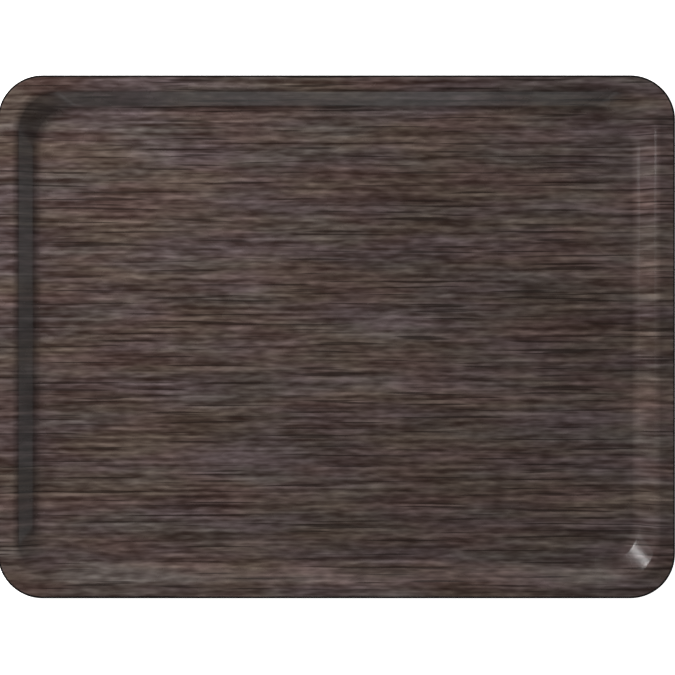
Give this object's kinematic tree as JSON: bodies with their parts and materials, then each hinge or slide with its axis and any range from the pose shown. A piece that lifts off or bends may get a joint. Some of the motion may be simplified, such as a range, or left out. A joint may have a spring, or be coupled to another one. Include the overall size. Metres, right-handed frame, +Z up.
{
  "type": "serving tray",
  "caption": "Shallow rectangular serving tray with rounded corners, sloping walls and a flat rim, pressed from a laminate with a dark wood-grain face.",
  "frame": {"origin": "centre of the floor's underside, on the surface that the tray stands on", "axes": "+X along the tray's length, +Y across its width, +Z up out of the well"},
  "size_m": [0.43, 0.332, 0.0146],
  "materials": {
    "clear_overlay": "gloss",
    "wood_decor": "gloss",
    "kraft_core": "satin",
    "backing": "satin",
    "edge_lacquer": "satin"
  },
  "bodies": {
    "root": {"wear_overlay": "clear_overlay", "face_decor_sheet": "wood_decor", "core_sheet_1": "kraft_core", "core_sheet_2": "kraft_core", "core_sheet_3": "kraft_core", "core_sheet_4": "kraft_core", "core_sheet_5": "kraft_core", "core_sheet_6": "kraft_core", "core_sheet_7": "kraft_core", "core_sheet_8": "kraft_core", "backing_sheet": "backing", "edge_lacquer": "edge_lacquer"}
  },
  "joints": []
}
